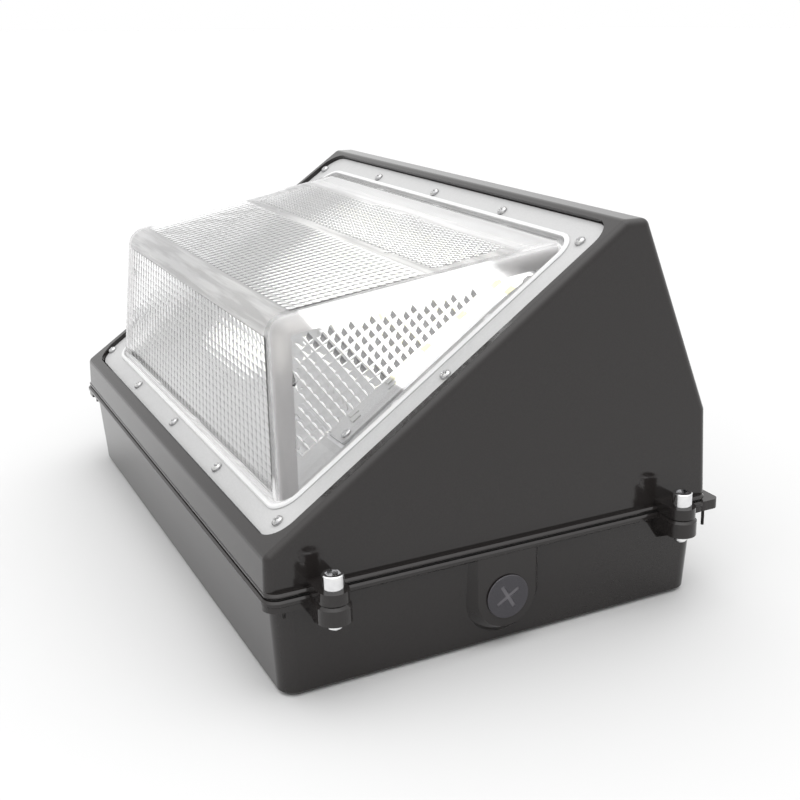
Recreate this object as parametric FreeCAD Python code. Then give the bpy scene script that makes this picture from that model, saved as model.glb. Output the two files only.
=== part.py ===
"""Wall pack light lying on its back: die-cast back box, hinged front cover, wedge lens.

Millimetres. X runs along the light's width, Y up the wall (the lens faces -Y and +Z), and
Z away from the wall. The origin is on the wall face, under the middle of the cover flange.
The cover's slope has its own frame: across (X), up the slope, and out of the slope.
"""
import FreeCAD, Part
import math
import os

V = FreeCAD.Vector

# ---- driving dimensions -------------------------------------------------------------
# Flange where the cover meets the back box
flange_width = 361.0
flange_height = 232.0
flange_corner = 7.0
joint_z = 50.0            # underside of the cover flange
joint_gap = 0.4           # between the two flanges, where the gasket shows
cover_bead = 2.4
cover_bead_inset = 1.0    # how far the cover's bead stands inside the box's
box_bead = 3.2
bead_bevel = 0.9

# Back box
box_foot_width = 348.4
box_foot_height = 217.6
box_rim_width = 353.0
box_rim_height = 223.6
box_corner = 8.0
box_foot_bevel = 1.8
box_wall = 3.0
box_floor = 3.5
corner_block_length = 21.0
corner_block_width = 15.0
corner_block_depth = 2.2
drip_ledge = 5.2          # how far the ledge on the upper side stands past the cover flange
drip_ledge_depth = 5.0

# Front cover
cover_width = 352.8
cover_top_width = 349.2
cover_height = 227.8      # between the top edges of the two short walls
wall_draft = 2.5          # degrees by which the short walls lean out towards the joint
cover_depth = 193.5
front_wall_z = 67.7       # top of the short wall on the lens side
back_wall_z = 96.7        # top of the short wall on the upper side
ridge_start_y = 63.9
ridge_width = 12.4
cover_wall = 3.0
slope_wall = 11.6
cover_round = 4.0
boss_root = 1.0           # how far a boss or post reaches into the wall it grows from

# Lens recess in the slope, measured up the slope from the front wall's top edge
recess_depth = 2.4        # from the slope down to the face of the lens frame
recess_width = 336.0
recess_start = 5.8
recess_end = 214.6
recess_corner = 14.0
frame_thickness = 2.5
frame_gap = 0.5
lip_height = 1.2
lip_width = 2.4

# Lens
lens_base_width = 298.5
lens_base_start = 18.6
lens_base_end = 200.2
lens_front_y = -91.5      # upper end of the lens's front face
lens_front_z = 156.9
lens_side_draft = 15.5    # degrees, from the slope's outward direction
lens_round = 11.0
lens_wall = 3.0
lens_tail_margin = 1.5    # extra wall at the upper end of the lens
lens_flange_edge = 5.2
lens_flange_short = 1.0   # how much less the flange stands out at the upper end
lens_flange_thickness = 2.5
lens_seal_thickness = 1.2
lens_seal_width = 7.6
lens_fit = 0.4

# Lens frame screws: M3 pan heads
frame_screw_radius = 1.5
frame_screw_head_radius = 2.75
frame_screw_head_height = 2.0
frame_screw_length = 8.0
frame_screw_corner_x = 159.0
frame_screw_inner_x = 78.5
frame_screw_side_x = 161.0
frame_screw_offset = -4.0     # the two long rows sit this far towards the hinges
frame_screw_low_t = 11.7
frame_screw_low_corner_t = 14.8
frame_screw_side_t = 110.8
frame_screw_high_corner_t = 200.8
frame_screw_high_t = 206.0

# Ears and cap screws: quarter-inch socket heads
ear_x = 190.0
ear_from_end = 26.0       # from the flange's end to the middle of an ear or hinge
upper_ear_radius = 6.7
upper_ear_thickness = 5.3
lower_ear_radius = 7.5
lower_ear_bevel = 1.4
lower_ear_thickness = 8.6
ear_web_width = 8.0
ear_web_drop = 6.5
cap_shank_radius = 3.175
cap_shank_length = 19.05
cap_head_radius = 4.76
cap_head_height = 6.35
cap_socket_flats = 6.0
cap_socket_depth = 3.2
cap_point = 0.8
cap_hole_clearance = 0.25
cap_washer_thickness = 0.8

# Hinges on the other end
hinge_x = -190.2
hinge_z = 41.0
hinge_lug_radius = 7.0
hinge_lug_width = 14.0
hinge_ear_radius = 6.4
hinge_ear_width = 6.0
hinge_ear_slant = 1.6     # how much lower an ear starts at the wall
hinge_side_gap = 0.4
hinge_pin_radius = 2.0
hinge_pin_head_radius = 3.6
hinge_pin_head_height = 1.6
hinge_pin_tail = 2.6
hinge_press_gap = 0.03
hinge_running_gap = 0.08
clip_radius = 3.7
clip_thickness = 0.8
clip_groove = 0.5

# Conduit entries and their closure plugs
entry_y = -1.5
entry_z = 25.6
boss_radius = 15.2
boss_flare = 4.9          # how much wider the boss is at the wall than at its face
boss_stand = 0.5          # how far the boss face lies inside the flange edge
plug_head_radius = 10.6
plug_head_thickness = 0.8
plug_body_radius = 9.4
plug_body_length = 9.0
plug_bore_radius = 5.5
plug_hole_clearance = 0.25
plug_slot_length = 13.0
plug_slot_width = 2.0
plug_slot_depth = 0.5
plug_slot_turn = 30.0
plug_washer_thickness = 0.4
plug_washer_gap = 0.15
plug_washer_rim = 0.25

# Cover gasket
gasket_width = 3.0
gasket_groove_depth = 1.8
gasket_inset = 2.0        # from the flange edge to the gasket

# Thin pins pressed up into the corner blocks
corner_pin_radius = 0.8
corner_pin_x = 178.1
corner_pin_grip = 3.0
corner_pin_places = (     # side, y, and how far the pin hangs below its block
    (1, -108.0, 3.2),
    (1, 113.0, 8.0),
    (-1, -110.5, 7.0),
    (-1, 110.5, 7.0),
)

# Holes in the back
wall_hole_spacing_x = 280.0
wall_hole_spacing_y = 150.0
wall_hole_radius = 3.5
wall_pad_radius = 8.0
wall_pad_height = 2.0
outlet_box_spacing = 88.9
outlet_box_hole_radius = 2.75
rear_entry_radius = 11.0

# Light engine, all measured in the slope's frame
engine_depth = 24.0       # from the slope down to the face of the mounting plate
plate_thickness = 3.0
plate_width = 312.0
plate_start = 24.0
plate_end = 193.0
plate_boss_radius = 4.5
plate_boss_x = 151.5
plate_boss_inset = 14.0
board_thickness = 1.6
board_width = 216.0
board_start = 62.0
board_end = 186.0
board_corner = 2.0
chip_size = 5.0
chip_height = 0.8
chip_columns = 12
chip_rows = 5
chip_pitch_x = 17.5
chip_pitch_t = 24.0
board_screw_inset = 5.0
reflector_sheet = 1.0
reflector_gap = 0.4       # between the reflector and the opening it lines
reflector_top = 7.8       # from the slope down to the reflector's upper edge
reflector_margin = 2.0
small_round_sides = 12
small_hole_gap = 0.05
pan_crown = 0.35          # share of a pan head's height taken by its crown
pan_flat = 0.72           # width of its flat top, as a share of the head
small_screw_radius = 1.5
small_screw_head_radius = 2.8
small_screw_head_height = 1.8
small_screw_length = 7.0

# Driver and wiring
driver_length = 196.0
driver_width = 60.0
driver_height = 36.0
driver_corner = 3.0
driver_bevel = 2.0
driver_y = 64.0
driver_tab_length = 14.0
driver_tab_thickness = 2.0
driver_tab_width = 34.0
driver_post_radius = 4.5
driver_post_height = 3.0
driver_hole_radius = 2.2
driver_screw_radius = 2.0
driver_screw_head_radius = 3.8
driver_screw_head_height = 2.6
driver_screw_length = 4.5
terminal_length = 34.0
terminal_width = 18.0
terminal_height = 13.0
terminal_x = 82.0
terminal_y = -56.0
terminal_corner = 2.0
terminal_poles = 3
terminal_screw_radius = 3.0
terminal_screw_height = 3.0
terminal_slot_width = 0.8
terminal_slot_depth = 1.0
connector_length = 22.0
connector_width = 14.0
connector_height = 14.0
connector_corner = 1.5
connector_x = -128.0
connector_y = -40.0
latch_width = 4.0
latch_height = 1.5
latch_front = 3.0         # from the plug's front end to the latch
latch_back = 5.0          # from the latch to the plug's lead end
lead_radius = 1.2
lead_pitch = 7.0
lead_height = 14.0
lead_bend = 9.0
ground_screw_x = 132.0
ground_screw_y = -30.0

# ---- worked out from the driving dimensions -------------------------------------------
slope_run = ridge_start_y + cover_height / 2
slope_rise = cover_depth - front_wall_z
slope_angle = math.degrees(math.atan2(slope_rise, slope_run))
SLOPE = FreeCAD.Placement(V(0, -cover_height / 2, front_wall_z), FreeCAD.Rotation(V(1, 0, 0), slope_angle))
ear_y = flange_height / 2 - ear_from_end
box_rim_z = joint_z - joint_gap
lower_ear_low_z = box_rim_z - lower_ear_thickness
frame_floor = -(recess_depth + frame_thickness)
lens_seat = frame_floor - lens_flange_thickness - lens_seal_thickness
upper_ear_top = joint_z + upper_ear_thickness
cap_seat_z = upper_ear_top + cap_washer_thickness
plug_face_x = flange_width / 2 - boss_stand
opening_half = lens_base_width / 2 - lens_wall
opening_start = lens_base_start + lens_wall
opening_end = lens_base_end - lens_wall - lens_tail_margin
post_top_z = box_floor + driver_post_height
board_length = board_end - board_start
board_middle = (board_start + board_end) / 2
board_face = board_thickness - engine_depth


# ---- helpers ----------------------------------------------------------------------------
def rounded_wire(x0, x1, y0, y1, radius, z):
    """Closed rectangle with four round corners, flat at height z."""
    inner = radius * (1 - math.sqrt(0.5))
    corners = (
        ((x1 - radius, y0), (x1 - inner, y0 + inner), (x1, y0 + radius)),
        ((x1, y1 - radius), (x1 - inner, y1 - inner), (x1 - radius, y1)),
        ((x0 + radius, y1), (x0 + inner, y1 - inner), (x0, y1 - radius)),
        ((x0, y0 + radius), (x0 + inner, y0 + inner), (x0 + radius, y0)),
    )
    edges = []
    for index, corner in enumerate(corners):
        before = corners[index - 1][2]
        edges.append(Part.makeLine(V(*before, z), V(*corner[0], z)))
        edges.append(Part.Arc(*[V(*point, z) for point in corner]).toShape())
    return Part.Wire(edges)


def centred_wire(width, height, radius, z):
    """Rounded rectangle about the Z axis."""
    return rounded_wire(-width / 2, width / 2, -height / 2, height / 2, radius, z)


def cut_corner_wire(x0, x1, y0, y1, cut, z):
    """Closed rectangle with its corners cut off at 45 degrees."""
    points = [V(x, y, z) for x, y in ((x0 + cut, y0), (x1 - cut, y0), (x1, y0 + cut), (x1, y1 - cut),
                                      (x1 - cut, y1), (x0 + cut, y1), (x0, y1 - cut), (x0, y0 + cut))]
    return Part.makePolygon(points + points[:1])


def plate(x0, x1, y0, y1, radius, z0, z1):
    """Flat plate with round corners, between two heights."""
    return Part.Face(rounded_wire(x0, x1, y0, y1, radius, z0)).extrude(V(0, 0, z1 - z0))


def centred_plate(width, height, radius, z0, z1):
    return plate(-width / 2, width / 2, -height / 2, height / 2, radius, z0, z1)


def block(x0, x1, y0, y1, z0, z1):
    return Part.makeBox(x1 - x0, y1 - y0, z1 - z0, V(x0, y0, z0))


def post(x, y, radius, z0, z1):
    return Part.makeCylinder(radius, z1 - z0, V(x, y, z0))


def side_prism(points, half_length):
    """Prism along X whose outline is given as (y, z) points."""
    corners = [V(-half_length, y, z) for y, z in points]
    return Part.Face(Part.makePolygon(corners + corners[:1])).extrude(V(2 * half_length, 0, 0))


def front_prism(points, y0, y1):
    """Prism along Y whose outline is given as (x, z) points."""
    corners = [V(x, y0, z) for x, z in points]
    return Part.Face(Part.makePolygon(corners + corners[:1])).extrude(V(0, y1 - y0, 0))


def on_slope(shape):
    """Moves a shape drawn in the slope's own frame to its place on the cover."""
    moved = shape.copy()
    moved.Placement = SLOPE.multiply(shape.Placement)
    return moved


def fused(shapes):
    return shapes[0].multiFuse(shapes[1:]).removeSplitter()


def small_ring(x, y, radius, z):
    """Outline of a small round piece or hole, drawn with flat sides."""
    turns = [2 * math.pi * side / small_round_sides for side in range(small_round_sides)]
    points = [V(x + radius * math.cos(turn), y + radius * math.sin(turn), z) for turn in turns]
    return Part.makePolygon(points + points[:1])


def peg(x, y, radius, z0, z1):
    """Small upright round pin."""
    return Part.Face(small_ring(x, y, radius, z0)).extrude(V(0, 0, z1 - z0))


def small_hole(x, y, radius, z0, z1):
    """Hole for a peg of the same radius."""
    return peg(x, y, radius + small_hole_gap, z0, z1)


def screw(x, y, seat, radius, length, head_radius, head_height):
    """Pan head screw pointing down, its head resting on the height called seat."""
    shoulder = seat + head_height * (1 - pan_crown)
    rings = [small_ring(x, y, head_radius, shoulder),
             small_ring(x, y, head_radius * pan_flat, seat + head_height)]
    head = peg(x, y, head_radius, seat, shoulder)
    return fused([head, Part.makeLoft(rings, True, True), peg(x, y, radius, seat - length, seat)])


def meet(line_a, line_b):
    """Point where two lines cross; each is given as point y, z and direction y, z."""
    ay, az, ady, adz = line_a
    by, bz, bdy, bdz = line_b
    along = ((by - ay) * bdz - (bz - az) * bdy) / (ady * bdz - adz * bdy)
    return ay + along * ady, az + along * adz


# ---- back box -----------------------------------------------------------------------------
def tray_wire(z, inset):
    """Outline of the tapered tray at one height, set in from its outside."""
    share = z / box_rim_z
    width = box_foot_width + (box_rim_width - box_foot_width) * share
    height = box_foot_height + (box_rim_height - box_foot_height) * share
    return centred_wire(width - 2 * inset, height - 2 * inset, box_corner - inset, z)


def box_outer():
    """Tapered tray with a bevelled foot."""
    sections = [tray_wire(0, box_foot_bevel), tray_wire(box_foot_bevel, 0), tray_wire(box_rim_z, 0)]
    return Part.makeLoft(sections, True, True)


def flange_bead(inset, z0, z1):
    """Band with bevelled edges that runs round the rim."""
    bead = centred_plate(flange_width - 2 * inset, flange_height - 2 * inset, flange_corner - inset, z0, z1)
    return bead.makeChamfer(bead_bevel, [edge for edge in bead.Edges if edge.BoundBox.ZLength < 0.01])


def box_cavity():
    """Hollow of the tray; its walls keep one thickness all the way down."""
    return Part.makeLoft([tray_wire(box_floor, box_wall), tray_wire(box_rim_z, box_wall)], True, True)


def drip_ledge_plate():
    """Ledge along the upper side, standing out past the cover flange."""
    start = box_rim_height / 2 - box_wall
    end = flange_height / 2 + drip_ledge
    low = box_rim_z - drip_ledge_depth
    return plate(-flange_width / 2, flange_width / 2, start, end, flange_corner / 2, low, box_rim_z)


def corner_blocks():
    """Thicker pads under the bead at the four corners."""
    low = box_rim_z - box_bead - corner_block_depth
    outline = centred_plate(flange_width - bead_bevel, flange_height - bead_bevel, flange_corner, low,
                            box_rim_z - bead_bevel)
    blocks = []
    for side in (-1, 1):
        for end in (-1, 1):
            x_near = side * (flange_width / 2 - corner_block_width)
            y_near = end * (flange_height / 2 - corner_block_length)
            x0, x1 = sorted((x_near, side * flange_width / 2))
            y0, y1 = sorted((y_near, end * flange_height / 2))
            blocks.append(outline.common(block(x0, x1, y0, y1, low, box_rim_z)))
    return blocks


def ear(y, radius, root_x, z0, z1):
    """Round-ended lug on the screw side, seen in plan."""
    return fused([block(root_x, ear_x, y - radius, y + radius, z0, z1), post(ear_x, y, radius, z0, z1)])


def lower_ears():
    """Lugs that take the cap screws, each with a sloping web beneath."""
    root = box_rim_width / 2 - box_wall
    low = lower_ear_low_z
    wall_x = box_rim_width / 2
    outline = ((root, low), (ear_x, low), (wall_x, low - ear_web_drop), (root, low - ear_web_drop))
    ears = []
    for y in (-ear_y, ear_y):
        lug = ear(y, lower_ear_radius, root, low, box_rim_z)
        ears.append(lug.makeChamfer(lower_ear_bevel, [edge for edge in lug.Edges
                                                      if edge.BoundBox.ZMin > box_rim_z - 0.01
                                                      and edge.BoundBox.XMax > wall_x]))
        ears.append(front_prism(outline, y - ear_web_width / 2, y + ear_web_width / 2))
    return ears


def entry_bosses():
    """Upright U-shaped face round each conduit entry, flared at the wall and running up into the bead."""
    bosses = []
    start = box_foot_width / 2 - box_wall
    depth = plug_face_x - start
    wide = boss_radius + boss_flare * depth / (plug_face_x - box_foot_width / 2)
    top = box_rim_z - box_bead + bead_bevel
    for side in (-1, 1):
        root = V(side * start, entry_y, entry_z)
        bosses.append(Part.makeCone(wide, boss_radius, depth, root, V(side, 0, 0)))
        outline = [V(side * x, entry_y + end * half, entry_z)
                   for x, half, end in ((start, wide, -1), (plug_face_x, boss_radius, -1),
                                        (plug_face_x, boss_radius, 1), (start, wide, 1))]
        face = Part.Face(Part.makePolygon(outline + outline[:1]))
        bosses.append(face.extrude(V(0, 0, top - entry_z)))
    return bosses


def hinge_ears():
    """Pairs of ears on the box that hold the hinge pins."""
    root = -(box_rim_width / 2 - box_wall)
    top = hinge_z + hinge_ear_radius
    low = hinge_z - hinge_ear_radius
    outline = ((root, top), (hinge_x, top), (hinge_x, low), (root, low - hinge_ear_slant))
    inner = hinge_lug_width / 2 + hinge_side_gap
    ears = []
    for y in (-ear_y, ear_y):
        for start in (y - inner - hinge_ear_width, y + inner):
            ears.append(front_prism(outline, start, start + hinge_ear_width))
            ears.append(Part.makeCylinder(hinge_ear_radius, hinge_ear_width, V(hinge_x, start, hinge_z),
                                          V(0, 1, 0)))
    return ears


def wall_hole_places():
    half_x = wall_hole_spacing_x / 2
    half_y = wall_hole_spacing_y / 2
    return [(x, y) for x in (-half_x, half_x) for y in (-half_y, half_y)]


def driver_post_places():
    reach = driver_length / 2 + driver_tab_length / 2
    return [(-reach, driver_y), (reach, driver_y)]


def box_holes():
    """Everything drilled or cored through the back box."""
    low = lower_ear_low_z - ear_web_drop
    holes = [post(ear_x, y, cap_shank_radius + cap_hole_clearance, low, box_rim_z) for y in (-ear_y, ear_y)]
    holes += [post(x, y, wall_hole_radius, 0, box_floor + wall_pad_height) for x, y in wall_hole_places()]
    half = outlet_box_spacing / 2
    holes += [post(x, 0, outlet_box_hole_radius, 0, box_floor) for x in (-half, half)]
    holes.append(post(0, 0, rear_entry_radius, 0, box_floor))
    holes += [small_hole(x, y, driver_screw_radius, box_floor, post_top_z) for x, y in driver_post_places()]
    holes.append(small_hole(ground_screw_x, ground_screw_y, driver_screw_radius, box_floor, post_top_z))
    for side in (-1, 1):
        start = V(side * (box_foot_width / 2 - 2 * box_wall), entry_y, entry_z)
        holes.append(Part.makeCylinder(plug_body_radius + plug_hole_clearance, 4 * box_wall, start,
                                       V(side, 0, 0)))
    reach = hinge_lug_width / 2 + hinge_side_gap + hinge_ear_width
    for y in (-ear_y, ear_y):
        holes.append(Part.makeCylinder(hinge_pin_radius + hinge_press_gap, 2 * reach,
                                       V(hinge_x, y - reach, hinge_z), V(0, 1, 0)))
    holes += corner_pin_shapes()
    return holes


def corner_pin_shapes():
    seat = box_rim_z - box_bead - corner_block_depth
    return [peg(side * corner_pin_x, y, corner_pin_radius, seat - drop, seat + corner_pin_grip)
            for side, y, drop in corner_pin_places]


def gasket_ring(z0, z1):
    inset = 2 * gasket_inset
    narrow = inset + 2 * gasket_width
    corner = flange_corner - gasket_inset
    outer = centred_plate(flange_width - inset, flange_height - inset, corner, z0, z1)
    inner = centred_plate(flange_width - narrow, flange_height - narrow, corner - gasket_width, z0, z1)
    return outer.cut(inner)


def back_box():
    low = box_rim_z - box_bead
    solids = [box_outer(), flange_bead(0, low, box_rim_z), drip_ledge_plate()]
    solids += corner_blocks() + lower_ears() + entry_bosses() + hinge_ears()
    body = fused(solids).cut(box_cavity())
    root = box_floor - boss_root
    pads = [peg(x, y, wall_pad_radius, root, box_floor + wall_pad_height) for x, y in wall_hole_places()]
    posts = [peg(x, y, driver_post_radius, root, post_top_z) for x, y in driver_post_places()]
    posts.append(peg(ground_screw_x, ground_screw_y, driver_post_radius, root, post_top_z))
    body = fused([body] + pads + posts)
    groove = gasket_ring(box_rim_z - gasket_groove_depth, box_rim_z)
    return body.cut(box_holes() + [groove])


def cover_gasket():
    return gasket_ring(box_rim_z - gasket_groove_depth, joint_z)


def corner_pins():
    return Part.makeCompound(corner_pin_shapes())


# ---- hinges and closure plugs -----------------------------------------------------------
def hinge_span():
    """Half the width over one hinge's two outer ears."""
    return hinge_lug_width / 2 + hinge_side_gap + hinge_ear_width


def hinge_pins():
    pins = []
    for y in (-ear_y, ear_y):
        span = hinge_span()
        along = V(0, 1, 0)
        start = V(hinge_x, y - span, hinge_z)
        shank = Part.makeCylinder(hinge_pin_radius, 2 * span + hinge_pin_tail, start, along)
        head = Part.makeCylinder(hinge_pin_head_radius, hinge_pin_head_height,
                                 start - along * hinge_pin_head_height, along)
        pin = fused([shank, head])
        pins.append(pin.cut(clip_ring(y, hinge_pin_radius - clip_groove, hinge_pin_head_radius)))
    return Part.makeCompound(pins)


def clip_ring(y, inner, outer):
    """Flat ring just past the far ear."""
    start = V(hinge_x, y + hinge_span() + hinge_press_gap, hinge_z)
    ring = Part.makeCylinder(outer, clip_thickness, start, V(0, 1, 0))
    return ring.cut(Part.makeCylinder(inner, clip_thickness, start, V(0, 1, 0)))


def hinge_clips():
    """E-clips: rings open on one side, snapped into the pins' grooves."""
    clips = []
    for y in (-ear_y, ear_y):
        ring = clip_ring(y, hinge_pin_radius - clip_groove, clip_radius)
        mouth = block(hinge_x - clip_groove * 2, hinge_x + clip_groove * 2, y, y + 2 * hinge_span(),
                      hinge_z - clip_radius, hinge_z)
        clips.append(ring.cut(mouth))
    return Part.makeCompound(clips)


def turned_outward(shape, side):
    """Takes a shape drawn on the Z axis to the boss face at one end of the box."""
    moved = shape.copy()
    moved.Placement = FreeCAD.Placement(V(side * plug_face_x, entry_y, entry_z),
                                        FreeCAD.Rotation(V(0, 0, 1), V(side, 0, 0)))
    return moved


def closure_plug(side):
    """Screwed plug with a cross slot; its hollow body fills the conduit entry."""
    seat = plug_washer_thickness
    head = Part.makeCylinder(plug_head_radius, plug_head_thickness, V(0, 0, seat))
    head = head.makeChamfer(plug_head_thickness / 4, [edge for edge in head.Edges
                                                      if edge.BoundBox.ZMin > seat + plug_head_thickness / 2])
    body = Part.makeCylinder(plug_body_radius, plug_body_length + seat, V(0, 0, -plug_body_length))
    hollow = Part.makeCylinder(plug_bore_radius, plug_body_length, V(0, 0, -plug_body_length))
    slots = []
    for angle in (plug_slot_turn, plug_slot_turn + 90):
        slot = Part.makeBox(plug_slot_length, plug_slot_width, plug_slot_depth,
                            V(-plug_slot_length / 2, -plug_slot_width / 2,
                              seat + plug_head_thickness - plug_slot_depth))
        slot.rotate(V(0, 0, 0), V(0, 0, 1), angle)
        slots.append(slot)
    return turned_outward(fused([head, body]).cut([hollow] + slots), side)


def plug_washer(side):
    ring = Part.makeCylinder(plug_head_radius - plug_washer_rim, plug_washer_thickness)
    ring = ring.cut(Part.makeCylinder(plug_body_radius + plug_washer_gap, plug_washer_thickness))
    return turned_outward(ring, side)


# ---- cap screws -----------------------------------------------------------------------------
def cap_screw(y):
    """Socket head cap screw standing in its two ears."""
    shank = post(ear_x, y, cap_shank_radius, cap_seat_z - cap_shank_length, cap_seat_z)
    shank = shank.makeChamfer(cap_point, [edge for edge in shank.Edges
                                          if edge.BoundBox.ZMax < cap_seat_z - cap_shank_length + 0.01])
    head = post(ear_x, y, cap_head_radius, cap_seat_z, cap_seat_z + cap_head_height)
    top = cap_seat_z + cap_head_height
    head = head.makeChamfer(cap_point / 2, [edge for edge in head.Edges if edge.BoundBox.ZMin > top - 0.01])
    corner = cap_socket_flats / math.sqrt(3)
    hexagon = [V(ear_x + corner * math.cos(math.radians(60 * k)), y + corner * math.sin(math.radians(60 * k)),
                 top - cap_socket_depth) for k in range(6)]
    socket = Part.Face(Part.makePolygon(hexagon + hexagon[:1])).extrude(V(0, 0, cap_socket_depth))
    return fused([shank, head]).cut(socket)


def cap_washer(y):
    hole = post(ear_x, y, cap_shank_radius + cap_hole_clearance / 2, upper_ear_top, cap_seat_z)
    return post(ear_x, y, cap_head_radius, upper_ear_top, cap_seat_z).cut(hole)


# ---- front cover ------------------------------------------------------------------------------
def cover_outline():
    """The cover's side view, as (y, z) points from the joint round to the joint."""
    half = cover_height / 2
    lean = math.tan(math.radians(wall_draft))
    front_foot = half + (front_wall_z - joint_z) * lean
    back_foot = half + (back_wall_z - joint_z) * lean
    return ((-front_foot, joint_z), (-half, front_wall_z), (ridge_start_y, cover_depth),
            (ridge_start_y + ridge_width, cover_depth), (half, back_wall_z), (back_foot, joint_z))


def cover_cavity_outline():
    """The side view of the hollow: each wall set in by its own thickness, with the ridge left out."""
    outline = cover_outline()
    walls = ((outline[0], outline[1], cover_wall), (outline[1], outline[2], slope_wall),
             (outline[3], outline[4], cover_wall), (outline[4], outline[5], cover_wall),
             (outline[5], outline[0], 0))
    lines = []
    for start, end, wall in walls:
        dy, dz = end[0] - start[0], end[1] - start[1]
        length = math.hypot(dy, dz)
        lines.append((start[0] + dz / length * wall, start[1] - dy / length * wall, dy, dz))
    return [meet(lines[index - 1], line) for index, line in enumerate(lines)]


def cover_ends(inset):
    """The front view: the two end walls lean in a little towards the ridge."""
    low = cover_width / 2 - inset
    high = cover_top_width / 2 - inset
    top = cover_depth - inset
    reach = flange_height
    return front_prism(((-low, joint_z), (-high, top), (high, top), (low, joint_z)), -reach, reach)


def upper_ears():
    root = cover_width / 2 - cover_wall
    return [ear(y, upper_ear_radius, root, joint_z, upper_ear_top) for y in (-ear_y, ear_y)]


def hinge_lugs():
    """Lugs that reach from the cover flange down round the hinge pins."""
    root = -(cover_width / 2 - cover_wall)
    outer = hinge_x - hinge_lug_radius
    inner = hinge_x + hinge_lug_radius
    outline = ((root, joint_z), (inner, joint_z), (inner, hinge_z), (outer, hinge_z),
               (outer, upper_ear_top), (root, upper_ear_top))
    lugs = []
    for y in (-ear_y, ear_y):
        start = y - hinge_lug_width / 2
        lugs.append(front_prism(outline, start, start + hinge_lug_width))
        lugs.append(Part.makeCylinder(hinge_lug_radius, hinge_lug_width, V(hinge_x, start, hinge_z),
                                      V(0, 1, 0)))
    return lugs


def plate_boss_places():
    return [(x, t) for x in (-plate_boss_x, plate_boss_x)
            for t in (plate_start + plate_boss_inset, plate_end - plate_boss_inset)]


def lens_flange_plate(grow, z0, z1):
    """Outline of the lens flange in the slope's frame, made larger or smaller all round."""
    reach = lens_flange_edge + grow
    half = lens_base_width / 2 + reach
    low = lens_base_start - reach
    high = lens_base_end + reach - lens_flange_short
    return plate(-half, half, low, high, lens_round + reach, z0, z1)


def frame_screw_places():
    places = []
    for side in (-1, 1):
        corner = side * frame_screw_corner_x + frame_screw_offset
        inner = side * frame_screw_inner_x + frame_screw_offset
        places += [(corner, frame_screw_low_corner_t), (corner, frame_screw_high_corner_t)]
        places += [(inner, frame_screw_low_t), (inner, frame_screw_high_t)]
        places.append((side * frame_screw_side_x, frame_screw_side_t))
    return places + [(frame_screw_offset, frame_screw_low_t), (frame_screw_offset, frame_screw_high_t)]


def cover_holes():
    """Recess, lens pocket, opening and screw holes of the cover."""
    half = recess_width / 2
    cuts = [on_slope(plate(-half, half, recess_start, recess_end, recess_corner, frame_floor, slope_wall)),
            on_slope(lens_flange_plate(lens_fit, lens_seat, 0)),
            on_slope(plate(-opening_half, opening_half, opening_start, opening_end, lens_round,
                           -2 * engine_depth, 0))]
    depth = frame_screw_length + frame_thickness
    cuts += [on_slope(small_hole(x, t, frame_screw_radius, -depth, 0)) for x, t in frame_screw_places()]
    cuts += [on_slope(small_hole(x, t, small_screw_radius, -engine_depth, -slope_wall))
             for x, t in plate_boss_places()]
    hole = cap_shank_radius + cap_hole_clearance
    cuts += [post(ear_x, y, hole, joint_z, upper_ear_top) for y in (-ear_y, ear_y)]
    for y in (-ear_y, ear_y):
        cuts.append(Part.makeCylinder(hinge_pin_radius + hinge_running_gap, hinge_lug_width,
                                      V(hinge_x, y - hinge_lug_width / 2, hinge_z), V(0, 1, 0)))
    return cuts


def front_cover():
    shell = side_prism(cover_outline(), flange_width).common(cover_ends(0))
    shell = shell.makeFillet(cover_round, [edge for edge in shell.Edges
                                           if any(v.Point.z > joint_z + 0.01 for v in edge.Vertexes)])
    bead = flange_bead(cover_bead_inset, joint_z, joint_z + cover_bead)
    solids = [shell, bead] + upper_ears() + hinge_lugs()
    cavity = side_prism(cover_cavity_outline(), flange_width).common(cover_ends(cover_wall))
    bosses = [on_slope(peg(x, t, plate_boss_radius, -engine_depth, boss_root - slope_wall))
              for x, t in plate_boss_places()]
    body = fused([fused(solids).cut(cavity)] + bosses)
    return body.cut(cover_holes())


# ---- lens, its frame and seal ---------------------------------------------------------------
def lens_wedge(inset):
    """The lens as a solid wedge with round edges, set in from the outside all round."""
    slope_point = lambda t, w: SLOPE.multVec(V(0, t, w))
    foot = slope_point(lens_base_start, -recess_depth)
    tail = slope_point(lens_base_end, -recess_depth)
    top = V(0, lens_front_y, lens_front_z)
    lines = []
    for start, end in ((foot, top), (top, tail)):
        along = (end - start).normalize()
        lines.append((start.y + along.z * inset, start.z - along.y * inset, along.y, along.z))
    corner = meet(lines[0], lines[1])
    reach = lens_base_width / 2
    low = (corner[0] - lines[0][2] * reach, corner[1] - lines[0][3] * reach)
    far = (corner[0] + lines[1][2] * lens_base_width, corner[1] + lines[1][3] * lens_base_width)
    wedge = side_prism((low, corner, far, (far[0], low[1])), lens_base_width)
    sides = lens_side_planes(inset)
    wedge = wedge.common(sides)
    near = lambda vertex: math.hypot(vertex.Point.y - corner[0], vertex.Point.z - corner[1]) < 0.01
    return wedge.makeFillet(lens_round - inset, [edge for edge in wedge.Edges
                                                 if any(near(vertex) for vertex in edge.Vertexes)])


def lens_side_planes(inset):
    """Block whose two ends lean in along the slope's outward direction."""
    lean = math.tan(math.radians(lens_side_draft))
    half = lens_base_width / 2 - inset / math.cos(math.radians(lens_side_draft))
    rise = lens_base_width
    low = half + lean * (rise - recess_depth)
    high = half - lean * (rise + recess_depth)
    points = ((-low, -rise), (-high, rise), (high, rise), (low, -rise))
    return on_slope(front_prism(points, -rise, 2 * rise))


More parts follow.
